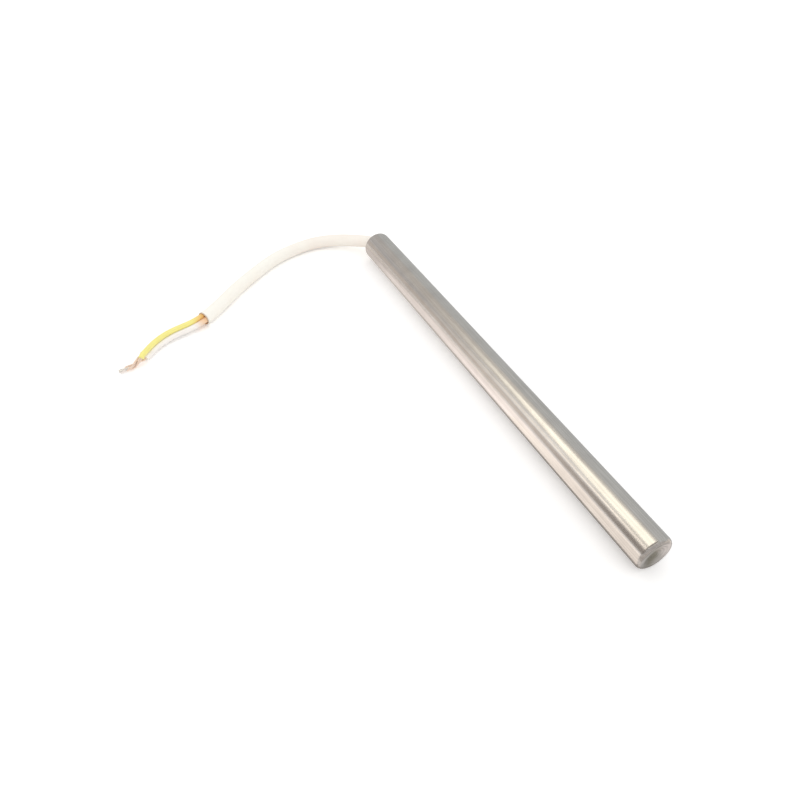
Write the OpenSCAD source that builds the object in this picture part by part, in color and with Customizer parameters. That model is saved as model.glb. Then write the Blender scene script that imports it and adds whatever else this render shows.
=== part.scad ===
// Cartridge heater with a sleeved three-wire lead, lying on a level surface.
// The sheath lies along X with its closed end at +X, its middle over the origin and its lowest line at Z = 0.

/* [Sheath] */
// Outside diameter of the ground tube
sheath_d = 16; // [14:0.5:20]
// Overall length of the tube
sheath_l = 240; // [180:5:320]
// Wall thickness of the tube
sheath_wall = 1; // [0.8:0.1:1.4]
// Radius of the rounded rim at the closed end
tip_round = 2; // [1.6:0.1:2.4]
// Radius of the outer edge at the lead end
mouth_round = 0.4; // [0.2:0.1:0.6]

/* [Closed end] */
// Thickness of the end disc at its rim
disc_t = 3; // [2.5:0.1:4]
// Depth of the dish in the end disc, below the rim
dish_depth = 0.8; // [0.5:0.1:1.2]
// Width of the fused bead from the sheath's outside to the dish
bead_w = 2.6; // [2.4:0.1:3]
// Thickness of the insulating wafer behind the disc
wafer_t = 3; // [2:0.5:6]

/* [Heated length] */
// Thickness of the compacted filling between the winding and the sheath
fill_t = 1.3; // [0.8:0.1:1.6]
// Number of cores in the stack
core_count = 5; // [3:1:8]
// Diameter of the resistance wire
winding_wire_d = 0.6; // [0.4:0.1:0.7]
// Target distance between the turns of the winding
winding_pitch = 4; // [3.5:0.5:8]
// Gap at each end of the core stack, where the winding's tails run in to the pins
tail_gap = 1.4; // [1.2:0.1:3]

/* [Terminals] */
// Diameter of the terminal pins
pin_d = 2; // [1.6:0.1:2.4]
// Distance between the axes of the two pins
pin_spacing = 4.8; // [4.4:0.1:5.2]
// Thickness of the ceramic bushing at the lead end of the cores
bushing_t = 8; // [5:0.5:12]
// Length of the crimps that join pins and wires
crimp_l = 10; // [8:0.5:12]
// Wall thickness of the crimps
crimp_wall = 0.5; // [0.3:0.1:0.6]
// Distance from the crimps to the end seal, where the wires draw together
gather_l = 10; // [8:0.5:14]
// Thickness of the sheet that the earth lug is made of
lug_t = 0.6; // [0.4:0.1:0.8]
// Height of the lug's web between its barrel and its tongue
lug_rise = 0.4; // [0.2:0.1:0.8]
// Width of the lug's tongue on the wall of the sheath
tongue_w = 5; // [3:0.5:6]

/* [End seal] */
// Thickness of the poured seal
seal_t = 7; // [5:0.5:12]
// Depth of the seal below the rim of the sheath
seal_recess = 1; // [0.6:0.1:3]
// Height by which the seal creeps up the sleeve
seal_creep = 0.5; // [0.2:0.1:0.6]

/* [Lead] */
// Outside diameter of each insulated wire
wire_d = 2.8; // [2.4:0.1:3]
// Diameter of each bare stranded conductor
bare_d = 1.2; // [0.8:0.1:1.4]
// Wall thickness of the sleeve
sleeve_wall = 0.4; // [0.3:0.1:0.8]
// Largest diameter of the tinned tip of the pigtail
solder_d = 2.4; // [2:0.1:3]

/* [Fits] */
// Radial clearance of what is pressed or poured into the sheath
seat_fit = 0.02; // [0.01:0.01:0.1]
// Radial clearance of pins and conductors in their holes
pin_fit = 0.05; // [0.02:0.01:0.1]
// Clearance of the winding on the cores and inside the filling
winding_fit = 0.05; // [0.02:0.01:0.1]
// Radial play of the bundled wires in the sleeve
sleeve_play = 0.08; // [0.06:0.01:0.3]
// Gap between wires that lie side by side
lay_gap = 0.02; // [0.01:0.01:0.1]
// Gap between the lead and the surface that it lies on
floor_gap = 0.1; // [0.05:0.05:0.3]

/* [Hidden] */
$fn = 96;
arc_steps = 8;
winding_steps = 12;
winding_sides = 6;
sleeve_sides = 12;
wire_sides = 8;
// Overrun of a cut past the face that it opens
cut_over = 1;

// Radii
sheath_r = sheath_d / 2;
bore_r = sheath_r - sheath_wall;
seat_r = bore_r - seat_fit;
pin_r = pin_d / 2;
pin_x = pin_spacing / 2;
wire_r = wire_d / 2;
bare_r = bare_d / 2;
crimp_bore_r = max(pin_r, bare_r) + pin_fit;
crimp_r = crimp_bore_r + crimp_wall;
winding_wire_r = winding_wire_d / 2;

// Turn of the wires round each other from point to point of the lead, once out of the sleeve and once bared
wire_turn = 10;
bare_turn = 65;
// Wires in a triangle, and the sleeve that holds them
triangle_r = (wire_d + lay_gap) / sqrt(3);
free_triangle_r = triangle_r / cos(wire_turn / 2);
bare_triangle_r = (bare_d + lay_gap) / sqrt(3) / cos(bare_turn / 2);
sleeve_bore_r = triangle_r + wire_r + sleeve_play;
sleeve_r = sleeve_bore_r + sleeve_wall;

// The turns' corners stay clear of the filling, and their chords stay clear of the cores
fill_bore_r = seat_r - fill_t;
winding_r = fill_bore_r - winding_fit - winding_wire_r;
core_r = winding_r * cos(180 / winding_steps) - winding_wire_r - winding_fit;

// Places along the axis, measured from the closed end
wafer_end = disc_t + wafer_t;
stack_start = wafer_end + tail_gap;
seal_end = sheath_l - seal_recess;
seal_start = seal_end - seal_t;
crimp_end = seal_start - gather_l;
crimp_start = crimp_end - crimp_l;
bushing_start = crimp_start - bushing_t;
stack_end = bushing_start - tail_gap;
core_l = (stack_end - stack_start) / core_count;
pin_end = crimp_start + crimp_l / 2;

// The winding's tails lie in the middle of the two gaps
tail_start = stack_start - tail_gap / 2;
tail_end = stack_end + tail_gap / 2;
turns = round((tail_end - tail_start) / winding_pitch) + 0.5;
winding_points = turns * winding_steps;
tail_r = pin_x + pin_r + pin_fit;

// Heights of the lead's middle line where sleeve, wires, bared wires and tip lie on the surface
sleeve_z = sleeve_r + floor_gap;
wire_z = free_triangle_r + wire_r + floor_gap;
bare_z = bare_triangle_r + bare_r + floor_gap;
tip_z = solder_d / 2 + floor_gap;
// Height of the middle line as it comes down from the axis, by the share of the drop that is left
function drop_z(share) = sleeve_z + share * (sheath_r - sleeve_z);

// Route of the lead's middle line: X counts from the rim of the lead end, Z from the surface.
// It leaves the seal on the axis, straight as far as the rim, comes down and lies in an open curve.
sleeve_route = [
    [seal_recess + seal_t, 0, sheath_r],
    [0, 0, sheath_r],
    [-3.1, -0.8, drop_z(0.97)],
    [-7.2, -2.7, drop_z(0.87)],
    [-13, -7.6, drop_z(0.64)],
    [-20.5, -15.3, drop_z(0.29)],
    [-26.1, -29.4, drop_z(0.05)],
    [-24.8, -44, sleeve_z],
    [-20.1, -57.3, sleeve_z],
    [-11.3, -71.4, sleeve_z],
    [4, -91, sleeve_z],
    [20.5, -111, sleeve_z]
];
wire_route = [
    [23.5, -118.5, (sleeve_z + wire_z) / 2],
    [25, -126.5, wire_z],
    [28.5, -135, wire_z],
    [33.5, -141.5, wire_z],
    [38, -146, wire_z]
];
bare_route = [[39.8, -149, (wire_z + bare_z) / 2], [41, -151.6, bare_z], [41.4, -153.8, bare_z]];
solder_route = [[41.8, -156, (bare_z + tip_z) / 2], [42.2, -158.2, tip_z]];
solder_taper = [0.9, 1, 0.6];
sleeve_last = len(sleeve_route) - 1;
wire_last = sleeve_last + len(wire_route);
bare_last = wire_last + len(bare_route);

// The wires keep their places in the sleeve, then turn slowly round each other, and faster once bared
function lay_angle(i) = max(0, min(i, wire_last) - sleeve_last) * wire_turn
    + max(0, i - wire_last) * bare_turn;
function lay_radius(i) = i <= sleeve_last ? triangle_r
    : i <= wire_last ? free_triangle_r
    : bare_triangle_r;

// Places of the three wires round the lead's middle line
earth_place = 60;
live_place = 180;
neutral_place = 300;
// Places across the axis, as [Y, Z] from it, where the wires start
earth_start = [seat_r - lug_t - lug_rise - crimp_r, 0];
live_start = [0, pin_x];
neutral_start = [0, -pin_x];
// Straight run of each wire as it leaves its crimp
straight_run = 2;

function unit(v) = v / norm(v);
function side_of(t) = unit(cross(t, [0, 0, 1]));
function up_of(t) = cross(side_of(t), t);
function headings(path) = [
    for (i = [0 : len(path) - 1]) unit(path[min(i + 1, len(path) - 1)] - path[max(i - 1, 0)])
];
function arc(centre, r, from, to) = [
    for (i = [0 : arc_steps])
        let (a = from + (to - from) * i / arc_steps)
            centre + r * [cos(a), sin(a)]
];

// The lead's middle line, and the way it heads at each point
lead_path = [for (p = concat(sleeve_route, wire_route, bare_route, solder_route)) p - [sheath_l / 2, 0, 0]];
lead_headings = headings(lead_path);

// One wire from its crimp to the end of its bared strands, with its rings in the lead's own planes
function wire_path(place, start) = concat(
    [
        for (run = [0, straight_run])
            [sheath_l / 2 - crimp_end - run, start.x, sheath_r + start.y]
    ],
    [
        for (i = [0 : bare_last])
            let (t = lead_headings[i], a = place + lay_angle(i))
                lead_path[i] + lay_radius(i) * (cos(a) * side_of(t) + sin(a) * up_of(t))
    ]
);
// Points of a wire's own path that come before the lead's route
wire_lead_in = 2;
wire_headings = concat([for (i = [1 : wire_lead_in]) [-1, 0, 0]], lead_headings);

function ring(centre, t, r, sides) = [
    for (k = [0 : sides - 1])
        let (a = 360 * k / sides)
            centre + r * (cos(a) * side_of(t) + sin(a) * up_of(t))
];
function wall_faces(rings, sides, base, out) = [
    for (i = [0 : rings - 2], k = [0 : sides - 1])
        let (
            a = base + i * sides + k,
            b = base + i * sides + (k + 1) % sides,
            quad = out ? [a, b, b + sides, a + sides] : [a, a + sides, b + sides, b]
        )
            each [[quad[0], quad[1], quad[2]], [quad[0], quad[2], quad[3]]]
];
function flat(lists) = [for (l = lists) each l];

// A solid rod along part of a path, with one radius for each ring
module rod(path, ways, first, radii, sides) {
    rings = len(radii);
    points = flat([for (i = [0 : rings - 1]) ring(path[first + i], ways[first + i], radii[i], sides)]);
    start_cap = [for (k = [sides - 1 : -1 : 0]) k];
    end_cap = [for (k = [0 : sides - 1]) (rings - 1) * sides + k];
    polyhedron(points, concat([start_cap, end_cap], wall_faces(rings, sides, 0, true)), convexity = 8);
}

// An open-ended tube along the first rings of a path
module tube(path, ways, rings, outer_r, inner_r, sides) {
    outer = flat([for (i = [0 : rings - 1]) ring(path[i], ways[i], outer_r, sides)]);
    inner = flat([for (i = [0 : rings - 1]) ring(path[i], ways[i], inner_r, sides)]);
    base = rings * sides;
    tail = (rings - 1) * sides;
    rims = [
        for (k = [0 : sides - 1])
            let (n = (k + 1) % sides)
                each [
                    [k, base + k, base + n],
                    [k, base + n, n],
                    [tail + k, tail + n, base + tail + n],
                    [tail + k, base + tail + n, base + tail + k]
                ]
    ];
    faces = concat(wall_faces(rings, sides, 0, true), wall_faces(rings, sides, base, false), rims);
    polyhedron(concat(outer, inner), faces, convexity = 8);
}

// Stands a shape that is drawn along Z, from the closed end, on the sheath's axis
module on_axis() {
    translate([sheath_l / 2, 0, sheath_r]) rotate([0, -90, 0]) children();
}

module turned(profile) {
    on_axis() rotate_extrude() polygon(profile);
}

module bored_disc(from, to, r, hole_r) {
    on_axis() translate([0, 0, from]) difference() {
        cylinder(h = to - from, r = r);
        for (side = [-1, 1])
            translate([side * pin_x, 0, -cut_over]) cylinder(h = to - from + 2 * cut_over, r = hole_r);
    }
}

// Drawn tube, ground on the outside, with its closed end rounded by the weld
module sheath() {
    corner_r = sheath_r - tip_round;
    // Where the rounded rim meets the bore
    cut = asin(max(0, bore_r - corner_r) / tip_round);
    color("#a8a59f") turned(concat(
        [[bore_r, sheath_l]],
        [[bore_r, tip_round - tip_round * cos(cut)]],
        arc([corner_r, tip_round], tip_round, -90 + cut, 0),
        arc([sheath_r - mouth_round, sheath_l - mouth_round], mouth_round, 0, 90)
    ));
}

// Dished disc in the closed end, fused to the sheath round its rim
module end_disc() {
    corner_r = sheath_r - tip_round;
    dish_r = sheath_r - max(bead_w, tip_round);
    // The dish is part of a ball that meets the bead at the dish's edge
    ball_r = (dish_r * dish_r + dish_depth * dish_depth) / (2 * dish_depth);
    ball_edge = asin(dish_r / ball_r);
    cut = asin(max(0, seat_r - corner_r) / tip_round);
    color("#8f8b84") turned(concat(
        [[0, disc_t]],
        arc([0, dish_depth - ball_r], ball_r, 90, 90 - ball_edge),
        arc([corner_r, tip_round], tip_round, -90, -90 + cut),
        [[seat_r, disc_t]]
    ));
}

// Insulating wafer between the end disc and the winding's tail
module base_wafer() {
    color("#d9d4c8") on_axis() translate([0, 0, disc_t]) cylinder(h = wafer_t, r = seat_r);
}

// Pressed magnesia core with two pin holes
module core(number) {
    from = stack_end - number * core_l;
    color("#ece7dc") bored_disc(from, from + core_l, core_r, pin_r + pin_fit);
}

// Resistance wire: a tail from one pin, the turns round the cores, and a tail to the other pin
module heating_winding() {
    turns_path = [
        for (k = [0 : winding_points])
            let (a = 180 + 360 * k / winding_steps, share = k / winding_points)
                [winding_r * cos(a), winding_r * sin(a), tail_start + (tail_end - tail_start) * share]
    ];
    path = concat([[-tail_r, 0, tail_start]], turns_path, [[tail_r, 0, tail_end]]);
    color("#7d766c") on_axis()
        rod(path, headings(path), 0, [for (p = path) winding_wire_r], winding_sides);
}

// Magnesia powder, compacted between the winding and the sheath
module insulation_fill() {
    color("#e4dfd3") turned([
        [fill_bore_r, wafer_end],
        [seat_r, wafer_end],
        [seat_r, bushing_start],
        [fill_bore_r, bushing_start]
    ]);
}

module terminal_pin(side, from) {
    color("#9a948a") on_axis() translate([side * pin_x, 0, from]) cylinder(h = pin_end - from, r = pin_r);
}

// The live pin ends inside the last core
module live_pin() {
    terminal_pin(1, stack_start + core_l / 2);
}

// The neutral pin reaches past the last core to the winding's far tail
module neutral_pin() {
    terminal_pin(-1, wafer_end);
}

// Ceramic bushing that closes the heated length
module lead_bushing() {
    color("#dcd6ca") bored_disc(bushing_start, crimp_start, seat_r, pin_r + pin_fit);
}

// Sleeve that is pressed on the end of a pin and on a bared conductor
module crimp(side) {
    half = crimp_l / 2;
    color("#b3aea4") on_axis() translate([side * pin_x, 0, crimp_start]) difference() {
        cylinder(h = crimp_l, r = crimp_r);
        translate([0, 0, -cut_over]) cylinder(h = half + cut_over, r = pin_r + pin_fit);
        translate([0, 0, half]) cylinder(h = half + cut_over, r = bare_r + pin_fit);
    }
}

module live_crimp() {
    crimp(1);
}

module neutral_crimp() {
    crimp(-1);
}

// Lug on the earth conductor: a barrel, and a tongue that is welded to the bore of the sheath
module earth_terminal() {
    barrel_y = earth_start.x;
    tongue_angle = tongue_w / bore_r * 180 / PI;
    web_from = barrel_y + crimp_r - lug_t;
    color("#a39d92") on_axis() translate([0, 0, crimp_start]) {
        difference() {
            translate([0, barrel_y, 0]) cylinder(h = crimp_l, r = crimp_r);
            translate([0, barrel_y, crimp_l / 2]) cylinder(h = crimp_l / 2 + cut_over, r = bare_r + pin_fit);
        }
        translate([-lug_t / 2, web_from, 0]) cube([lug_t, seat_r - lug_t / 2 - web_from, crimp_l]);
        rotate([0, 0, 90 - tongue_angle / 2])
            rotate_extrude(angle = tongue_angle)
                translate([seat_r - lug_t, 0]) square([lug_t, crimp_l]);
    }
}

// Poured seal round the sleeve, with a hollow face that creeps up the sleeve and the wall
module end_seal() {
    inner_r = sleeve_r + seat_fit;
    half_w = (seat_r - inner_r) / 2;
    hollow_r = (half_w * half_w + seal_creep * seal_creep) / (2 * seal_creep);
    sweep = asin(half_w / hollow_r);
    color("#d8d2c4") turned(concat(
        [[inner_r, seal_start], [seat_r, seal_start]],
        arc([inner_r + half_w, seal_end + hollow_r - seal_creep], hollow_r, -90 + sweep, -90 - sweep)
    ));
}

// Lead sleeve, open at both ends
module sleeve() {
    color("#f3e9dc") tube(lead_path, lead_headings, sleeve_last + 1, sleeve_r, sleeve_bore_r, sleeve_sides);
}

// Insulated wire, with its inner end bared for the crimp
module wire(place, start) {
    radii = [for (i = [0 : wire_lead_in + wire_last]) wire_r];
    rod(wire_path(place, start), wire_headings, 0, radii, wire_sides);
    on_axis() translate([start.y, start.x, crimp_end - crimp_l / 2]) cylinder(h = crimp_l / 2, r = bare_r);
}

module earth_wire() {
    color("#e6d84a") wire(earth_place, earth_start);
}

module live_wire() {
    color("#f2efe9") wire(live_place, live_start);
}

module neutral_wire() {
    color("#f2efe9") wire(neutral_place, neutral_start);
}

// Bared strands of one wire, from the end of its insulation to the tinned tip
module strands(place, start) {
    radii = [for (i = [wire_last : bare_last]) bare_r];
    color("#c98f62") rod(wire_path(place, start), wire_headings, wire_lead_in + wire_last, radii, wire_sides);
}

module earth_strands() {
    strands(earth_place, earth_start);
}

module live_strands() {
    strands(live_place, live_start);
}

module neutral_strands() {
    strands(neutral_place, neutral_start);
}

// Solder that holds the ends of the three twisted conductors
module solder_tip() {
    radii = [for (share = solder_taper) share * solder_d / 2];
    color("#c9c9c6") rod(lead_path, lead_headings, bare_last, radii, wire_sides);
}

core_nodes = [for (i = [1 : core_count]) str("core_", i)];

sheath();
end_disc();
base_wafer();
for (i = [1 : core_count]) {
    core(i);
}
heating_winding();
insulation_fill();
live_pin();
neutral_pin();
lead_bushing();
live_crimp();
neutral_crimp();
earth_terminal();
end_seal();
sleeve();
earth_wire();
live_wire();
neutral_wire();
earth_strands();
live_strands();
neutral_strands();
solder_tip();
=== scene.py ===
import math

import bmesh
import bpy
import numpy as np
from mathutils import Matrix, Vector


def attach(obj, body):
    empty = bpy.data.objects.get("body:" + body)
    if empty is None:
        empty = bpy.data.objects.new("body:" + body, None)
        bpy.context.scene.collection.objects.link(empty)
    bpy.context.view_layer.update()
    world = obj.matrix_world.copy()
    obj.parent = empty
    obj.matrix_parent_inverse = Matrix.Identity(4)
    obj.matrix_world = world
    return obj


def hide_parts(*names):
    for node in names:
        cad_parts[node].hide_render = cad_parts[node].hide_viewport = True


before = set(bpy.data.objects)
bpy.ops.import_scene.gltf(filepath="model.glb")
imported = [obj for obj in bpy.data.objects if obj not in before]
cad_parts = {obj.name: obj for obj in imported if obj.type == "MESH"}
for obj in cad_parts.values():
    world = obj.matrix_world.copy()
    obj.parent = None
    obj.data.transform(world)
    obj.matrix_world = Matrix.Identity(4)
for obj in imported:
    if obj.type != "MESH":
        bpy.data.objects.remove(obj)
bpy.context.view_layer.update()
scene = bpy.context.scene


# Camera: it stands about 0.25 m from the heater's closed end and looks down the length of the sheath.
# Its place and its lens were fitted to the outline of the sheath in the photograph.
MM = 0.001
camera_data = bpy.data.cameras.new("camera")
camera_data.sensor_width = 36
camera_data.lens = 29.1
camera_data.clip_start = 10 * MM
camera = bpy.data.objects.new("camera", camera_data)
view_axis = Vector((-0.6487, 0.3183, -0.6913)).normalized()
right_axis = view_axis.cross(Vector((0, 0, 1))).normalized()
up_axis = right_axis.cross(view_axis)
camera_turn = Matrix((right_axis, up_axis, -view_axis)).transposed().to_4x4()
camera_place = Vector((195.35, -139.7, 209.39)) * MM
camera.matrix_world = Matrix.Translation(camera_place) @ camera_turn
scene.collection.objects.link(camera)
scene.camera = camera


# Lead sleeve: soft silicone-coated tube over the three wires, cut square with a hot blade.
# It is potted in the seal of the sheath's open end, comes down to the bench and lies in an open curve.
sheath_r = 8.0
sheath_l = 240.0
wire_d = 2.8
lay_gap = 0.02
floor_gap = 0.1
wire_r = wire_d / 2
wire_turn = 10
bare_turn = 65
bare_r = 0.6
solder_r = 1.2
sleeve_wall = 0.4
sleeve_slack = 0.08
triangle_r = (wire_d + lay_gap) / math.sqrt(3)
free_triangle_r = triangle_r / math.cos(math.radians(wire_turn / 2))
bare_triangle_r = (2 * bare_r + lay_gap) / math.sqrt(3) / math.cos(math.radians(bare_turn / 2))
sleeve_r = triangle_r + wire_r + sleeve_slack + sleeve_wall
sleeve_z = sleeve_r + floor_gap
wire_z = free_triangle_r + wire_r + floor_gap
bare_z = bare_triangle_r + bare_r + floor_gap
tip_z = solder_r + floor_gap


def drop_z(share):
    """Height of the sleeve's middle line with this share of its fall from the sheath still to go."""
    return sleeve_z + share * (sheath_r - sleeve_z)


sleeve_route = [
    (8, 0, sheath_r), (0, 0, sheath_r), (-3.1, -0.8, drop_z(0.97)), (-7.2, -2.7, drop_z(0.87)),
    (-13, -7.6, drop_z(0.64)), (-20.5, -15.3, drop_z(0.29)), (-26.1, -29.4, drop_z(0.05)),
    (-24.8, -44, sleeve_z), (-20.1, -57.3, sleeve_z), (-11.3, -71.4, sleeve_z),
    (4, -91, sleeve_z), (20.5, -111, sleeve_z),
]
wire_route = [
    (23.5, -118.5, (sleeve_z + wire_z) / 2), (25, -126.5, wire_z), (28.5, -135, wire_z),
    (33.5, -141.5, wire_z), (38, -146, wire_z),
]
bare_route = [(39.8, -149, (wire_z + bare_z) / 2), (41, -151.6, bare_z), (41.4, -153.8, bare_z)]
solder_route = [(41.8, -156, (bare_z + tip_z) / 2), (42.2, -158.2, tip_z)]
lead_route = np.array(sleeve_route + wire_route + bare_route + solder_route) - (sheath_l / 2, 0, 0)
sleeve_last = len(sleeve_route) - 1
wire_last = sleeve_last + len(wire_route)
bare_last = wire_last + len(bare_route)

# The lead bends as a springy rod does, so its middle line is the natural spline through the route.
route_gaps = np.linalg.norm(np.diff(lead_route, axis=0), axis=1)
route_at = np.concatenate([[0], np.cumsum(route_gaps)])
spline_system = np.eye(len(lead_route))
spline_pull = np.zeros_like(lead_route)
for i in range(1, len(lead_route) - 1):
    before, after = route_gaps[i - 1], route_gaps[i]
    spline_system[i, i - 1:i + 2] = before, 2 * (before + after), after
    rise_after = (lead_route[i + 1] - lead_route[i]) / after
    rise_before = (lead_route[i] - lead_route[i - 1]) / before
    spline_pull[i] = 6 * (rise_after - rise_before)
route_bend = np.linalg.solve(spline_system, spline_pull)


def lead_line(at):
    """Points of the lead's middle line at these distances along its route, in millimetres."""
    k = np.clip(np.searchsorted(route_at, at, side="right") - 1, 0, len(route_gaps) - 1)
    gap = route_gaps[k][:, None]
    b = (at[:, None] - route_at[k][:, None]) / gap
    a = 1 - b
    bend = ((a ** 3 - a) * route_bend[k] + (b ** 3 - b) * route_bend[k + 1]) * gap ** 2 / 6
    return a * lead_route[k] + b * lead_route[k + 1] + bend


def swept(name, lines, radii, resolution, caps):
    """A mesh of round tubes along lines in millimetres, each with a radius for each of its points."""
    curve = bpy.data.curves.new(name, "CURVE")
    curve.dimensions = "3D"
    curve.bevel_depth = MM
    curve.bevel_resolution = resolution
    curve.use_fill_caps = caps
    for line, radius in zip(lines, radii):
        spline = curve.splines.new("POLY")
        spline.points.add(len(line) - 1)
        for point, place, r in zip(spline.points, line, np.broadcast_to(radius, len(line))):
            point.co = (*(place * MM), 1)
            point.radius = r
    holder = bpy.data.objects.new(name, curve)
    scene.collection.objects.link(holder)
    mesh = bpy.data.meshes.new_from_object(holder.evaluated_get(bpy.context.evaluated_depsgraph_get()))
    bpy.data.objects.remove(holder)
    bpy.data.curves.remove(curve)
    mesh.name = name
    mesh.shade_smooth()
    piece = bpy.data.objects.new(name, mesh)
    scene.collection.objects.link(piece)
    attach(piece, "root")
    return piece


def linear(colour):
    """An sRGB hex colour as linear light."""
    parts = [int(colour[i:i + 2], 16) / 255 for i in (1, 3, 5)]
    return [p / 12.92 if p <= 0.04045 else ((p + 0.055) / 1.055) ** 2.4 for p in parts] + [1.0]


def add(tree, kind, settings, links=None):
    """Adds a node, sets its properties and inputs, and links outputs of other nodes to its inputs."""
    made = tree.nodes.new(kind)
    for key, value in settings.items():
        if isinstance(key, str) and hasattr(made, key):
            setattr(made, key, value)
        else:
            made.inputs[key].default_value = value
    for key, source in (links or {}).items():
        tree.links.new(source, made.inputs[key])
    return made


# Silicone-coated glass braid: soft and satin, with the braid just telling under the coat.
silicone_coat = bpy.data.materials.new("silicone_coated_sleeve")
silicone_coat.use_nodes = True
tree = silicone_coat.node_tree
shader = tree.nodes["Principled BSDF"]
shader.inputs["Roughness"].default_value = 0.48
shader.inputs["IOR"].default_value = 1.41
place = add(tree, "ShaderNodeTexCoord", {})
# Clouding 12 mm across, from handling and uneven coating
cloud = add(
    tree, "ShaderNodeTexNoise",
    {"Scale": 1 / (12 * MM), "Detail": 3.0},
    {"Vector": place.outputs["Object"]},
)
near_sheath_tone = add(
    tree, "ShaderNodeMix",
    {"data_type": "RGBA", 6: linear("#FFFDF4"), 7: linear("#F9EDE3")},
    {0: cloud.outputs["Fac"]},
)
further_tone = add(
    tree, "ShaderNodeMix",
    {"data_type": "RGBA", 6: linear("#FFFFF8"), 7: linear("#FFF8EC")},
    {0: cloud.outputs["Fac"]},
)
# The coat is pinker and a little darker for its first 45 mm from the sheath, fading out by 65 mm
sheath_mouth = Vector((-sheath_l / 2, 0, sheath_r)) * MM
from_sheath = add(
    tree, "ShaderNodeVectorMath",
    {"operation": "DISTANCE", 1: sheath_mouth},
    {0: place.outputs["Object"]},
)
beyond_near_sheath = add(
    tree, "ShaderNodeMapRange",
    {"interpolation_type": "SMOOTHSTEP", "From Min": 45 * MM, "From Max": 65 * MM},
    {"Value": from_sheath.outputs["Value"]},
)
coat = add(
    tree, "ShaderNodeMix",
    {"data_type": "RGBA"},
    {0: beyond_near_sheath.outputs["Result"], 6: near_sheath_tone.outputs[2], 7: further_tone.outputs[2]},
)
# Painted shade at the mouth: the end of the coat is coloured brown, more and more from 0.9 mm to 0.2 mm
# short of the cut
step_back = 0.5
mouth = lead_line(route_at[[sleeve_last]])[0]
mouth_way = Vector(mouth - lead_line(route_at[[sleeve_last]] - step_back)[0]).normalized()
to_mouth = mouth_way.dot(Vector(mouth)) * MM
along = add(
    tree, "ShaderNodeVectorMath",
    {"operation": "DOT_PRODUCT", 1: mouth_way},
    {0: place.outputs["Object"]},
)
cut_shade_share = add(
    tree, "ShaderNodeMapRange",
    {"interpolation_type": "SMOOTHSTEP", "From Min": to_mouth - 0.9 * MM, "From Max": to_mouth - 0.2 * MM},
    {"Value": along.outputs["Value"]},
)
cut_shaded = add(
    tree, "ShaderNodeMix",
    {"data_type": "RGBA", 7: linear("#D6C0A8")},
    {0: cut_shade_share.outputs["Result"], 6: coat.outputs[2]},
)
tree.links.new(cut_shaded.outputs[2], shader.inputs["Base Color"])
# Braid bumps 0.5 mm across, a little coarser than the real braid so that they show
braid = add(tree, "ShaderNodeTexVoronoi", {"Scale": 1 / (0.5 * MM)}, {"Vector": place.outputs["Object"]})
relief = add(
    tree, "ShaderNodeBump",
    {"Strength": 0.08, "Distance": 0.05 * MM},
    {"Height": braid.outputs["Distance"]},
)
tree.links.new(relief.outputs["Normal"], shader.inputs["Normal"])

# Painted shade at the sleeve's cut: its edge and its bore are coloured brown to stand for the shade and
# warm bounce light inside the mouth.
shaded_sleeve_rim = bpy.data.materials.new("sleeve_edge_painted_shade")
shaded_sleeve_bore = bpy.data.materials.new("sleeve_bore_painted_shade")
for shaded_finish, dark, light in ((shaded_sleeve_rim, "#BFA78F", "#DFC8B2"), (shaded_sleeve_bore, "#E2B88E", "#F2D6B8")):
    shaded_finish.use_nodes = True
    tree = shaded_finish.node_tree
    shader = tree.nodes["Principled BSDF"]
    shader.inputs["Roughness"].default_value = 0.6
    shader.inputs["IOR"].default_value = 1.41
    place = add(tree, "ShaderNodeTexCoord", {})
    # The painted shade varies in patches 1.5 mm across
    patch = add(tree, "ShaderNodeTexNoise", {"Scale": 1 / (1.5 * MM)}, {"Vector": place.outputs["Object"]})
    tint = add(
        tree, "ShaderNodeMix",
        {"data_type": "RGBA", 6: linear(dark), 7: linear(light)},
        {0: patch.outputs["Fac"]},
    )
    tree.links.new(tint.outputs[2], shader.inputs["Base Color"])

sleeve_steps = 90
sleeve_line = lead_line(np.linspace(0, route_at[sleeve_last], sleeve_steps))
sleeve_tube = swept("sleeve_tube", [sleeve_line], [sleeve_r], resolution=14, caps=False)
for finish in (silicone_coat, shaded_sleeve_rim, shaded_sleeve_bore):
    sleeve_tube.data.materials.append(finish)
wall = sleeve_tube.modifiers.new("wall", "SOLIDIFY")
wall.thickness = sleeve_wall * MM
wall.offset = -1
wall.material_offset_rim = 1
wall.material_offset = 2
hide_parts("sleeve")


# Insulated wires: stranded copper in silicone rubber, one yellow for earth and two off-white.
# They lie in a triangle in the sleeve, run back to the crimps in the sheath, and turn slowly outside it.
solder_turns = 0.6
closing_l = 2.4


def beside_lead(at, place):
    """Line of the wire at this angle round the lead's middle line, and its side and up directions."""
    middle = lead_line(at)
    heading = np.gradient(middle, axis=0)
    heading /= np.linalg.norm(heading, axis=1)[:, None]
    side = np.cross(heading, (0, 0, 1))
    side /= np.linalg.norm(side, axis=1)[:, None]
    up = np.cross(side, heading)
    sleeve_end, wire_end, bare_end = route_at[[sleeve_last, wire_last, bare_last]]
    free_turns = (wire_last - sleeve_last) * wire_turn
    bare_turns = (bare_last - wire_last) * bare_turn
    turn = np.interp(
        at, [0, sleeve_end, wire_end, bare_end, route_at[-1]],
        [0, 0, free_turns, free_turns + bare_turns, free_turns + (1 + solder_turns) * bare_turns],
    )
    reach = np.interp(
        at, [0, sleeve_end, route_at[sleeve_last + 1], wire_end, wire_end + closing_l],
        [triangle_r, triangle_r, free_triangle_r, free_triangle_r, bare_triangle_r],
    )
    angle = np.radians(place + turn)[:, None]
    return middle + reach[:, None] * (np.cos(angle) * side + np.sin(angle) * up), side, up


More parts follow.
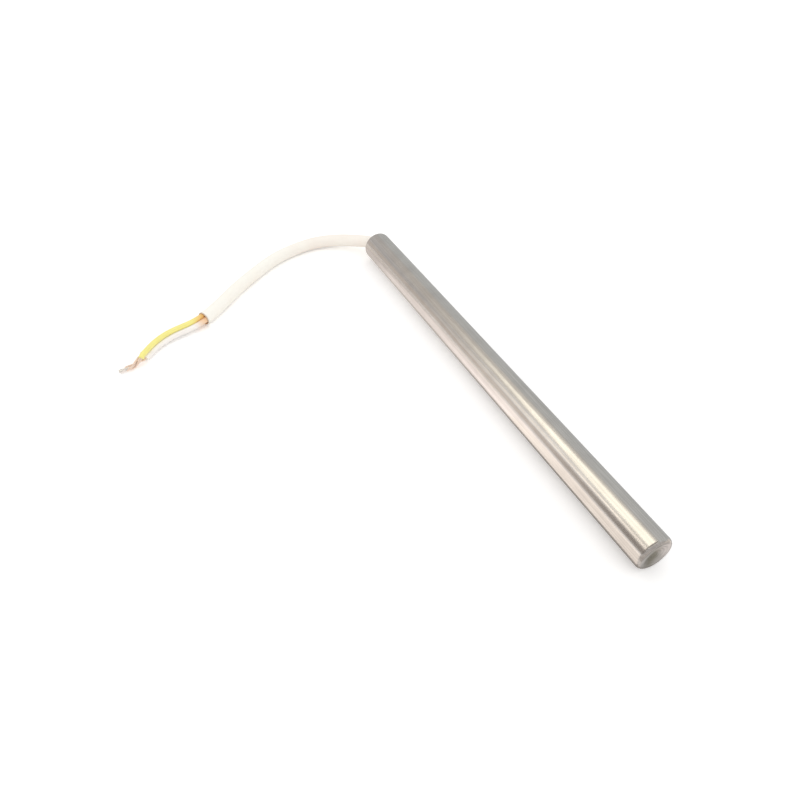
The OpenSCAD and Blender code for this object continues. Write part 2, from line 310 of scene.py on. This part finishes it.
# Each wire's angle round the lead, and where it leaves its crimp, across and up from the heater's axis
crimp_end_x = -102.0
gather_l = 10.0
wire_places = {"earth": (60, (4.43, 0.0)), "live": (180, (0.0, 2.4)), "neutral": (300, (0.0, -2.4))}

# Silicone rubber insulation: satin, even, dusted with talc that pales its edges.
yellow_rubber = bpy.data.materials.new("yellow_silicone_rubber")
white_rubber = bpy.data.materials.new("off_white_silicone_rubber")
for rubber, plain, shade in ((yellow_rubber, "#FFF59A", "#F6EC86"), (white_rubber, "#FFFCF7", "#FAF3EC")):
    rubber.use_nodes = True
    tree = rubber.node_tree
    shader = tree.nodes["Principled BSDF"]
    shader.inputs["Roughness"].default_value = 0.42
    shader.inputs["IOR"].default_value = 1.43
    shader.inputs["Sheen Weight"].default_value = 1.0
    shader.inputs["Sheen Roughness"].default_value = 0.3
    place = add(tree, "ShaderNodeTexCoord", {})
    # Shade in soft patches 5 mm long
    patch = add(tree, "ShaderNodeTexNoise", {"Scale": 1 / (5 * MM)}, {"Vector": place.outputs["Object"]})
    tint = add(
        tree, "ShaderNodeMix",
        {"data_type": "RGBA", 6: linear(plain), 7: linear(shade)},
        {0: patch.outputs["Fac"]},
    )
    # Painted shade and warm bounce light round the sleeve's mouth: the wires are tinted orange, most within
    # 2 mm and none past 8 mm
    from_mouth = add(
        tree, "ShaderNodeVectorMath",
        {"operation": "DISTANCE", 1: mouth * MM},
        {0: place.outputs["Object"]},
    )
    mouth_shade_share = add(
        tree, "ShaderNodeMapRange",
        {
            "interpolation_type": "SMOOTHSTEP",
            "From Min": 2 * MM, "From Max": 8 * MM, "To Min": 0.75, "To Max": 0.0,
        },
        {"Value": from_mouth.outputs["Value"]},
    )
    mouth_shaded = add(
        tree, "ShaderNodeMix",
        {"data_type": "RGBA", 7: linear("#F7BC74")},
        {0: mouth_shade_share.outputs["Result"], 6: tint.outputs[2]},
    )
    tree.links.new(mouth_shaded.outputs[2], shader.inputs["Base Color"])
    # Extrusion skin with bumps of 0.3 mm
    skin = add(tree, "ShaderNodeTexNoise", {"Scale": 1 / (0.3 * MM)}, {"Vector": place.outputs["Object"]})
    relief = add(
        tree, "ShaderNodeBump",
        {"Strength": 0.1, "Distance": 0.02 * MM},
        {"Height": skin.outputs["Fac"]},
    )
    tree.links.new(relief.outputs["Normal"], shader.inputs["Normal"])

# The white wires were stripped a little further back than the yellow one
strip_shift = {"earth": 1.2, "live": -1, "neutral": -2.5}
insulation_ends = {name: route_at[wire_last] + shift for name, shift in strip_shift.items()}
wire_steps = 110
gather_steps = 12
wires = {}
wire_lines = {}
for name, (place_angle, start) in wire_places.items():
    along, _, _ = beside_lead(np.linspace(0, insulation_ends[name], wire_steps), place_angle)
    ease = np.linspace(0, 1, gather_steps)[:-1]
    blend = (ease ** 2 * (3 - 2 * ease))[:, None]
    crimp = np.array((crimp_end_x, start[0], sheath_r + start[1]))
    gathered = crimp + blend * (along[0] - crimp)
    gathered[:, 0] = crimp_end_x - ease * gather_l
    wire_lines[name] = np.concatenate([gathered, along])
    wires[name] = swept(f"{name}_insulation", [wire_lines[name]], [wire_r], resolution=8, caps=True)
    wires[name].data.materials.append(yellow_rubber if name == "earth" else white_rubber)
    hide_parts(f"{name}_wire")


# Bared ends: each wire's seven strands, laid round each other, with the three bunches twisted together.
# They are soft copper, bright from the stripping, start inside the insulation and end inside the solder.
strand_r = 0.2
strand_pitch = 7.0
strand_cover = 1.0
strand_steps = 50
outer_strands = 6
strands_to = route_at[bare_last] + strand_cover

# Drawn copper: pale pink and softly bright, with a faint tarnish.
bright_copper = bpy.data.materials.new("bright_drawn_copper")
bright_copper.use_nodes = True
tree = bright_copper.node_tree
shader = tree.nodes["Principled BSDF"]
shader.inputs["Metallic"].default_value = 0.65
shader.inputs["Roughness"].default_value = 0.42
place = add(tree, "ShaderNodeTexCoord", {})
# Tarnish in patches 1 mm across
tarnish = add(tree, "ShaderNodeTexNoise", {"Scale": 1 / (1 * MM)}, {"Vector": place.outputs["Object"]})
tint = add(
    tree, "ShaderNodeMix",
    {"data_type": "RGBA", 6: linear("#FFF0E4"), 7: linear("#F6DFCC")},
    {0: tarnish.outputs["Fac"]},
)
tree.links.new(tint.outputs[2], shader.inputs["Base Color"])

for name, (place_angle, _) in wire_places.items():
    at = np.linspace(insulation_ends[name] - strand_cover, strands_to, strand_steps)
    middle, side, up = beside_lead(at, place_angle)
    bunch = [middle]
    for k in range(outer_strands):
        angle = (np.radians(360 / outer_strands * k) + 2 * np.pi * at / strand_pitch)[:, None]
        bunch.append(middle + 2 * strand_r * (np.cos(angle) * side + np.sin(angle) * up))
    strands = swept(f"{name}_strand_bunch", bunch, [strand_r] * len(bunch), resolution=3, caps=True)
    strands.data.materials.append(bright_copper)
    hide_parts(f"{name}_strands")


# Tinned tip: the twisted ends dipped in solder, which fills the bunches and rounds off their tips.
# The solder sets as one lump in which the three bunches still tell.
dip_overlap = 0.4
dip_steps = 30
nose_share = 0.28
nose_blunt = 0.02
bunch_squeeze = 0.78
bunch_r = 0.52
lump_r = 0.85
tip_at = np.linspace(route_at[bare_last] - dip_overlap, route_at[-1], dip_steps)
nose = ((np.linspace(0, 1, dip_steps) - (1 - nose_share)) / nose_share).clip(0)
tip_round = np.sqrt(np.clip(1 - nose ** 2, nose_blunt, 1))
tip_middle = lead_line(tip_at)
tip_lines = []
for place_angle, _ in wire_places.values():
    line, _, _ = beside_lead(tip_at, place_angle)
    tip_lines.append(tip_middle + bunch_squeeze * (line - tip_middle))
tip_radii = [bunch_r * tip_round] * len(tip_lines) + [lump_r * tip_round]
tip_lines.append(tip_middle)
solder_lump = swept("solder_lump", tip_lines, tip_radii, resolution=6, caps=True)
fuse = solder_lump.modifiers.new("fuse", "REMESH")
fuse.mode = "VOXEL"
fuse.voxel_size = 0.07 * MM
fuse.use_smooth_shade = True
even = solder_lump.modifiers.new("even", "SMOOTH")
even.factor = 0.5
even.iterations = 4

# Dipped tin solder: pale grey, half dull from cooling and from flux left on it.
tin_solder = bpy.data.materials.new("dipped_tin_solder")
tin_solder.use_nodes = True
tree = tin_solder.node_tree
shader = tree.nodes["Principled BSDF"]
shader.inputs["Metallic"].default_value = 0.8
place = add(tree, "ShaderNodeTexCoord", {})
# Dull and bright patches 0.8 mm across
patch = add(tree, "ShaderNodeTexNoise", {"Scale": 1 / (0.8 * MM)}, {"Vector": place.outputs["Object"]})
dull = add(tree, "ShaderNodeMapRange", {"To Min": 0.35, "To Max": 0.55}, {"Value": patch.outputs["Fac"]})
tint = add(
    tree, "ShaderNodeMix",
    {"data_type": "RGBA", 6: linear("#F6F4F1"), 7: linear("#E4E0DB")},
    {0: patch.outputs["Fac"]},
)
tree.links.new(tint.outputs[2], shader.inputs["Base Color"])
tree.links.new(dull.outputs["Result"], shader.inputs["Roughness"])
solder_lump.data.materials.append(tin_solder)
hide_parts("solder_tip")

# The sleeve's exit is the seal's face, a little inside the mouth.
seal_recess = 1.0


# Sheath: drawn stainless tube, ground to a close fit for its bore and rolled over at the closed end.
# Its outside is satin from the grinding and shows long draw marks.
turn_steps = 192
merge_gap = 0.002
crease_angle = 32


def arc(centre, radius, start, end, steps):
    """Points of a profile's round, in degrees from the outward direction."""
    turns = np.radians(np.linspace(start, end, steps + 1))
    return [(centre[0] + radius * math.sin(t), centre[1] + radius * math.cos(t)) for t in turns]


def turned(name, profile, closed):
    """A piece turned about the heater's axis from a profile of (distance from the closed end, radius)."""
    shape = bmesh.new()
    corners = [shape.verts.new(((sheath_l / 2 - a) * MM, 0, (sheath_r + r) * MM)) for a, r in profile]
    for a, b in zip(corners, corners[1:] + corners[:1] if closed else corners[1:]):
        shape.edges.new((a, b))
    bmesh.ops.spin(
        shape, geom=shape.verts[:] + shape.edges[:], cent=(0, 0, sheath_r * MM), axis=(1, 0, 0),
        angle=2 * math.pi, steps=turn_steps, use_merge=True,
    )
    bmesh.ops.remove_doubles(shape, verts=shape.verts[:], dist=merge_gap * MM)
    bmesh.ops.recalc_face_normals(shape, faces=shape.faces[:])
    mesh = bpy.data.meshes.new(name)
    shape.to_mesh(mesh)
    shape.free()
    mesh.shade_smooth()
    mesh.set_sharp_from_angle(angle=math.radians(crease_angle))
    piece = bpy.data.objects.new(name, mesh)
    scene.collection.objects.link(piece)
    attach(piece, "root")
    return piece


bore_r = 7.0
tip_rim = 2.0
mouth_rim = 0.4
rim_cut = math.degrees(math.asin((bore_r - (sheath_r - tip_rim)) / tip_rim))
sheath_profile = (
    arc((tip_rim, sheath_r - tip_rim), tip_rim, -90 + rim_cut, 0, steps=12)
    + arc((sheath_l - mouth_rim, sheath_r - mouth_rim), mouth_rim, 0, 90, steps=6)
    + [(sheath_l, bore_r)]
)
sheath_tube = turned("sheath_tube", sheath_profile, closed=True)

# Ground stainless steel: bright but not polished, with draw marks that run along it.
ground_stainless = bpy.data.materials.new("ground_stainless")
ground_stainless.use_nodes = True
tree = ground_stainless.node_tree
shader = tree.nodes["Principled BSDF"]
shader.inputs["Metallic"].default_value = 1.0
place = add(tree, "ShaderNodeTexCoord", {})
# Draw marks 0.9 mm wide and 50 mm long, about three times the real width so that they show
drawn = add(
    tree, "ShaderNodeMapping",
    {"Scale": (1 / (50 * MM), 1 / (0.9 * MM), 1 / (0.9 * MM))},
    {"Vector": place.outputs["Object"]},
)
marks = add(tree, "ShaderNodeTexNoise", {"Scale": 1.0, "Detail": 3.0}, {"Vector": drawn.outputs["Vector"]})
dull = add(tree, "ShaderNodeMapRange", {"To Min": 0.16, "To Max": 0.32}, {"Value": marks.outputs["Fac"]})
# Handling clouds 9 mm across
cloud = add(
    tree, "ShaderNodeTexNoise",
    {"Scale": 1 / (9 * MM), "Detail": 4.0},
    {"Vector": place.outputs["Object"]},
)
mottle = add(
    tree, "ShaderNodeMath",
    {"operation": "MULTIPLY_ADD", 1: 0.6},
    {0: cloud.outputs["Fac"], 2: marks.outputs["Fac"]},
)
share = add(
    tree, "ShaderNodeMapRange",
    {"From Min": 0.5, "From Max": 1.1},
    {"Value": mottle.outputs["Value"]},
)
tint = add(
    tree, "ShaderNodeMix",
    {"data_type": "RGBA", 6: linear("#E1DEDB"), 7: linear("#C9C5C2")},
    {0: share.outputs["Result"]},
)
# Slow waves 12 mm round and 90 mm long, from the drawing, which make the reflections wander
waved = add(
    tree, "ShaderNodeMapping",
    {"Scale": (1 / (90 * MM), 1 / (12 * MM), 1 / (12 * MM))},
    {"Vector": place.outputs["Object"]},
)
waves = add(tree, "ShaderNodeTexNoise", {"Scale": 1.0, "Detail": 1.0}, {"Vector": waved.outputs["Vector"]})
slow = add(
    tree, "ShaderNodeBump",
    {"Strength": 0.3, "Distance": 0.06 * MM},
    {"Height": waves.outputs["Fac"]},
)
fine = add(
    tree, "ShaderNodeBump",
    {"Strength": 0.12, "Distance": 0.01 * MM},
    {"Height": marks.outputs["Fac"], "Normal": slow.outputs["Normal"]},
)
tree.links.new(tint.outputs[2], shader.inputs["Base Color"])
tree.links.new(dull.outputs["Result"], shader.inputs["Roughness"])
tree.links.new(fine.outputs["Normal"], shader.inputs["Normal"])
sheath_tube.data.materials.append(ground_stainless)
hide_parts("sheath")


# End disc: dished stainless disc pressed into the closed end and fused to the rim by a weld without filler.
# A dark brown spot near its middle is partly the weld's heat tint and partly a painted reflection of the
# shaded floor in front of the end. Its edge is dull grey.
dish_r = 5.4
dish_depth = 0.8
disc_t = 3.0
seat_r = 6.98
ball_r = (dish_r ** 2 + dish_depth ** 2) / (2 * dish_depth)
ball_edge = math.degrees(math.asin(dish_r / ball_r))
seat_cut = math.degrees(math.asin((seat_r - (sheath_r - tip_rim)) / tip_rim))
# The facing tool left four shallow rings in the dish, drawn a little deeper than real so that they show
ring_count = 4
ring_pitch = dish_r / ring_count
ring_depth = 0.09
dish = [
    (a + ring_depth / 2 * (1 - math.cos(2 * math.pi * r / ring_pitch)), r)
    for a, r in arc((dish_depth - ball_r, 0), ball_r, 90, 90 - ball_edge, steps=64)
]
disc_profile = (
    dish
    + arc((tip_rim, sheath_r - tip_rim), tip_rim, -90, -90 + seat_cut, steps=6)
    + [(disc_t, seat_r), (disc_t, 0)]
)
end_dish = turned("end_dish", disc_profile, closed=False)

# Welded stainless: satin grey, with a spot beside the middle that is partly heat tint and partly painted
# dark reflection.
weld_spot_finish = bpy.data.materials.new("heat_tint_and_painted_reflection_stainless")
weld_spot_finish.use_nodes = True
tree = weld_spot_finish.node_tree
shader = tree.nodes["Principled BSDF"]
shader.inputs["Metallic"].default_value = 1.0
shader.inputs["Roughness"].default_value = 0.32
place = add(tree, "ShaderNodeTexCoord", {})
# The spot is taller than wide. Clouds 2.5 mm across make its edge ragged by up to 2 mm.
spot_y = -1.4
spot_z = 7.8
spot_squash = 0.65
centred = add(
    tree, "ShaderNodeMapping",
    {"Location": (0, -spot_y * MM, -spot_squash * spot_z * MM), "Scale": (0, 1, spot_squash)},
    {"Vector": place.outputs["Object"]},
)
from_spot = add(tree, "ShaderNodeVectorMath", {"operation": "LENGTH"}, {0: centred.outputs["Vector"]})
cloud = add(tree, "ShaderNodeTexNoise", {"Scale": 1 / (2.5 * MM)}, {"Vector": place.outputs["Object"]})
ragged = add(
    tree, "ShaderNodeMath",
    {"operation": "MULTIPLY_ADD", 1: 2 * MM},
    {0: cloud.outputs["Fac"], 2: from_spot.outputs["Value"]},
)
outside_dark_spot = add(
    tree, "ShaderNodeMapRange",
    {"interpolation_type": "SMOOTHSTEP", "From Min": 2.0 * MM, "From Max": 6.6 * MM},
    {"Value": ragged.outputs["Value"]},
)
tint = add(
    tree, "ShaderNodeMix",
    {"data_type": "RGBA", 6: linear("#949286"), 7: linear("#D2D1D0")},
    {0: outside_dark_spot.outputs["Result"]},
)
tree.links.new(tint.outputs[2], shader.inputs["Base Color"])
end_dish.data.materials.append(weld_spot_finish)
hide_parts("end_disc")


# End seal: silicone poured round the sleeve in the open end, where it crept up the sleeve and the wall.
# It keeps moisture out of the magnesia and holds the lead.
seal_t = 7.0
seal_creep = 0.5
seal_gap = 0.02
seal_bore_r = sleeve_r + seal_gap
half_w = (seat_r - seal_bore_r) / 2
hollow_r = (half_w ** 2 + seal_creep ** 2) / (2 * seal_creep)
hollow_sweep = math.degrees(math.asin(half_w / hollow_r))
seal_face = sheath_l - seal_recess
seal_profile = (
    [(seal_face - seal_t, seal_bore_r), (seal_face - seal_t, seat_r)]
    + arc(
        (seal_face + hollow_r - seal_creep, seal_bore_r + half_w), hollow_r,
        -90 + hollow_sweep, -90 - hollow_sweep, steps=12,
    )
)
poured_seal = turned("poured_seal", seal_profile, closed=True)

# Poured silicone: pale grey-beige, glossy where it wet the wall.
poured_silicone = bpy.data.materials.new("poured_silicone")
poured_silicone.use_nodes = True
tree = poured_silicone.node_tree
shader = tree.nodes["Principled BSDF"]
shader.inputs["Roughness"].default_value = 0.35
shader.inputs["IOR"].default_value = 1.41
place = add(tree, "ShaderNodeTexCoord", {})
# Streaks and bubbles 0.7 mm across
bubbles = add(
    tree, "ShaderNodeTexNoise",
    {"Scale": 1 / (0.7 * MM), "Detail": 4.0},
    {"Vector": place.outputs["Object"]},
)
tint = add(
    tree, "ShaderNodeMix",
    {"data_type": "RGBA", 6: linear("#DDD6CA"), 7: linear("#C6BCAC")},
    {0: bubbles.outputs["Fac"]},
)
tree.links.new(tint.outputs[2], shader.inputs["Base Color"])
relief = add(
    tree, "ShaderNodeBump",
    {"Strength": 0.2, "Distance": 0.05 * MM},
    {"Height": bubbles.outputs["Fac"]},
)
tree.links.new(relief.outputs["Normal"], shader.inputs["Normal"])
poured_seal.data.materials.append(poured_silicone)
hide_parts("end_seal")


# Inner pieces: magnesia cores on two nickel pins, wound with resistance wire, packed in magnesia powder.
# A mica wafer and a ceramic bushing close the heated length. Crimps join the pins to the lead, and a lug
# joins its earth wire to the sheath.
inner_finishes = [
    # Pressed magnesia: chalk white and matt, with grains of 0.5 mm
    ("pressed_magnesia", "#EDE8DE", "#DCD5C7", 0.0, 0.85, 0.5,
     ["core_1", "core_2", "core_3", "core_4", "core_5", "insulation_fill"]),
    # Mica sheet: warm grey with a soft sheen, in flakes of 2 mm
    ("mica_sheet", "#C9BFA8", "#A89C84", 0.0, 0.4, 2.0, ["base_wafer"]),
    # Fired steatite: off-white and matt, with specks of 0.8 mm
    ("fired_steatite", "#E4DED1", "#D3CBBB", 0.0, 0.6, 0.8, ["lead_bushing"]),
    # Oxidised resistance wire: grey-brown, with scale in patches of 0.6 mm
    ("oxidised_resistance_wire", "#8B8178", "#665C53", 1.0, 0.5, 0.6, ["heating_winding"]),
    # Drawn nickel: warm grey, mottled in patches of 0.4 mm
    ("drawn_nickel", "#C2BBAF", "#A79F93", 1.0, 0.35, 0.4,
     ["live_pin", "neutral_pin", "live_crimp", "neutral_crimp", "earth_terminal"]),
]
for name, light, dark, metallic, roughness, grain, nodes in inner_finishes:
    finish = bpy.data.materials.new(name)
    finish.use_nodes = True
    tree = finish.node_tree
    shader = tree.nodes["Principled BSDF"]
    shader.inputs["Metallic"].default_value = metallic
    shader.inputs["Roughness"].default_value = roughness
    place = add(tree, "ShaderNodeTexCoord", {})
    grains = add(
        tree, "ShaderNodeTexNoise",
        {"Scale": 1 / (grain * MM)},
        {"Vector": place.outputs["Object"]},
    )
    tint = add(
        tree, "ShaderNodeMix",
        {"data_type": "RGBA", 6: linear(light), 7: linear(dark)},
        {0: grains.outputs["Fac"]},
    )
    relief = add(
        tree, "ShaderNodeBump",
        {"Strength": 0.2, "Distance": 0.03 * MM},
        {"Height": grains.outputs["Fac"]},
    )
    tree.links.new(tint.outputs[2], shader.inputs["Base Color"])
    tree.links.new(relief.outputs["Normal"], shader.inputs["Normal"])
    for node_name in nodes:
        node_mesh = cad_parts[node_name].data
        node_mesh.materials.clear()
        node_mesh.materials.append(finish)


# Studio: a white paper floor, a soft lamp overhead that narrows away from the closed end, and a thin strip
# lamp on the lead's side, both with dim frames. Cards around them, and sheets on the floor, give the sheath
# its long bands. Lamps, cards and sheets show only in what shines.
scene.view_settings.view_transform = "Standard"
world = bpy.data.worlds.new("studio_world")
scene.world = world
world.use_nodes = True
world.node_tree.nodes["Background"].inputs["Color"].default_value = linear("#FFFFFF")
world.node_tree.nodes["Background"].inputs["Strength"].default_value = 1.0


def flat(name, corners):
    """A flat stage piece through these corners, in metres."""
    shape = bmesh.new()
    shape.faces.new([shape.verts.new(corner) for corner in corners])
    mesh = bpy.data.meshes.new(name)
    shape.to_mesh(mesh)
    shape.free()
    piece = bpy.data.objects.new(name, mesh)
    scene.collection.objects.link(piece)
    return piece


def band(x0, x1, first, second):
    """Corners of a flat piece between two edges along X, each edge given by its Y and its height."""
    return [(x0, *first), (x1, *first), (x1, *second), (x0, *second)]


# White paper, lifted a little where it is seen or reflected, so that it stays white round the soft shadow.
paper_lift = 0.2
white_paper = bpy.data.materials.new("white_paper")
white_paper.use_nodes = True
tree = white_paper.node_tree
shader = tree.nodes["Principled BSDF"]
shader.inputs["Base Color"].default_value = linear("#FCFBFA")
shader.inputs["Roughness"].default_value = 0.9
shader.inputs["Specular IOR Level"].default_value = 0.1
shader.inputs["Emission Color"].default_value = linear("#FFFFFF")
seen = add(tree, "ShaderNodeLightPath", {})
mirrored = add(
    tree, "ShaderNodeMath",
    {"operation": "ADD"},
    {0: seen.outputs["Is Glossy Ray"], 1: seen.outputs["Is Transmission Ray"]},
)
shown = add(
    tree, "ShaderNodeMath",
    {"operation": "ADD"},
    {0: seen.outputs["Is Camera Ray"], 1: mirrored.outputs["Value"]},
)
lifted = add(tree, "ShaderNodeMath", {"operation": "MULTIPLY", 1: paper_lift}, {0: shown.outputs["Value"]})
tree.links.new(lifted.outputs["Value"], shader.inputs["Emission Strength"])
floor = flat("floor", band(-5, 5, (-5, 0), (5, 0)))
floor.data.materials.append(white_paper)

# Each lamp or card: corners, colour, and the two strengths that it runs between from one X to another
lamp_z = 0.7
lamp_outline = [(-0.6, -0.07), (-0.42, -0.25), (-0.25, -0.38), (0.1, -0.445), (0.1, 0.22), (-0.127, 0.16)]
strip_edges = [(-0.55, 0.44), (-0.455, 0.515)]
dark_edges = [(-0.7, 0.06), (-0.6, 0.38)]
cards = [
    ("lamp", [(x, y, lamp_z) for x, y in lamp_outline], "#FFFAEA", 2.0, 1.55, -0.4, 0.0),
    ("lamp_frame", band(0.1, 0.4, (-0.5, lamp_z), (0.3, lamp_z)), "#FFF4EC", 0.3, 0.3, 0.1, 0.4),
    ("strip", band(-0.8, 0.1, *strip_edges), "#FFF6E8", 0.68, 1.85, -0.75, -0.1),
    ("strip_frame", band(0.1, 0.4, *strip_edges), "#FFF4EC", 0.3, 0.3, 0.1, 0.4),
    ("above_strip", band(-0.18, 0.4, (-0.45, 0.53), (-0.43, 0.66)), "#FFF6DE", 1.0, 0.3, -0.14, -0.1),
    ("below_strip", band(-0.16, 0.4, (-0.62, 0.385), (-0.56, 0.435)), "#F8ECE1", 0.95, 0.3, -0.145, -0.11),
    ("dark_near", band(-0.4, 0.6, *dark_edges), "#F8ECE1", 0.88, 0.3, -0.4, -0.12),
    ("dark_far", band(-1.6, -0.4, *dark_edges), "#F8ECE1", 0.68, 0.88, -0.8, -0.4),
    ("right_card", band(-2.0, 0.8, (0.8, 0.0), (0.4, 1.2)), "#FCFEFC", 0.55, 0.6, -1.0, 0.0),
    ("front_card", [(0.5, -0.7, 0.0), (0.5, 0.8, 0.0), (0.6, 0.8, 0.7), (0.6, -0.7, 0.7)],
     "#FFFAF6", 0.5, 0.5, -1.0, 0.0),
    ("far_card", [(-1.9, -1.5, 0.0), (-1.9, 1.5, 0.0), (-1.5, 1.5, 1.5), (-1.5, -1.5, 1.5)],
     "#FFFCFA", 0.53, 0.53, -2.0, 0.0),
    ("top_card", band(-2.0, 0.8, (-0.62, 1.0), (0.8, 1.0)), "#FFF8EE", 0.55, 0.68, -1.35, -1.05),
]
# Each sheet on the floor: its span in X and in Y, then its colour, strengths and Xs
sheet_z = 0.0003
sheets = [
    ("left_floor_back", (-1.0, -0.2), (-0.8, -0.06), "#FFF5EF", 0.73, 0.87, -0.26, -0.235),
    ("left_floor_mid", (-0.2, 0.03), (-0.8, -0.06), "#FFF5EF", 0.87, 1.48, -0.12, 0.03),
    ("left_floor_end", (-1.0, -0.09), (-0.06, -0.0098), "#FFF5EF", 0.79, 1.07, -0.122, -0.097),
    ("left_floor_far", (-0.09, 0.03), (-0.06, -0.0098), "#FFF5EF", 1.07, 1.48, -0.07, 0.03),
    ("left_floor_near", (0.03, 0.121), (-0.8, -0.0098), "#FFF5EB", 1.4, 1.1, 0.04, 0.115),
    # Painted shade in reflection: this sheet dims under the sheath to stand for the floor's shadow there
    ("under_floor", (-1.0, 0.121), (-0.0098, 0.009), "#FFF6EE", 0.75, 0.36, -0.1, 0.06),
    ("right_floor", (-1.0, 0.121), (0.009, 0.8), "#FCFEFC", 0.54, 0.54, -1.0, 0.0),
    ("front_floor_left", (0.121, 0.128), (-0.8, -0.005), "#FFF8F2", 0.8, 0.8, 0.121, 0.128),
    # Painted shade in reflection: this sheet is dimmest right at the end face, standing for the floor's
    # shadow in front of it
    ("front_floor_near", (0.121, 0.128), (-0.005, 0.007), "#FFFAF5", 0.4, 0.85, 0.1215, 0.126),
    ("front_floor_right", (0.121, 0.128), (0.007, 0.8), "#FFF4EE", 0.5, 1.3, 0.1215, 0.126),
    ("front_floor_far", (0.128, 0.5), (-0.8, 0.03), "#FFF6EE", 0.48, 0.58, 0.128, 0.18),
    ("front_floor_corner", (0.128, 0.5), (0.03, 0.8), "#FFF6EE", 0.62, 0.8, 0.128, 0.18),
]
for name, span_x, span_y, *shine in sheets:
    edges = [(y, sheet_z) for y in span_y]
    cards.append((name, band(*span_x, *edges), *shine))
for name, corners, colour, far_strength, near_strength, far_x, near_x in cards:
    piece = flat(name, corners)
    piece.visible_camera = False
    piece.visible_diffuse = False
    piece.visible_shadow = False
    glow = bpy.data.materials.new(f"{name}_glow")
    glow.use_nodes = True
    tree = glow.node_tree
    tree.nodes.remove(tree.nodes["Principled BSDF"])
    place = add(tree, "ShaderNodeTexCoord", {})
    axes = add(tree, "ShaderNodeSeparateXYZ", {}, {"Vector": place.outputs["Object"]})
    level = add(
        tree, "ShaderNodeMapRange",
        {"From Min": far_x, "From Max": near_x, "To Min": far_strength, "To Max": near_strength},
        {"Value": axes.outputs["X"]},
    )
    light = add(
        tree, "ShaderNodeEmission",
        {"Color": linear(colour)},
        {"Strength": level.outputs["Result"]},
    )
    tree.links.new(light.outputs["Emission"], tree.nodes["Material Output"].inputs["Surface"])
    piece.data.materials.append(glow)
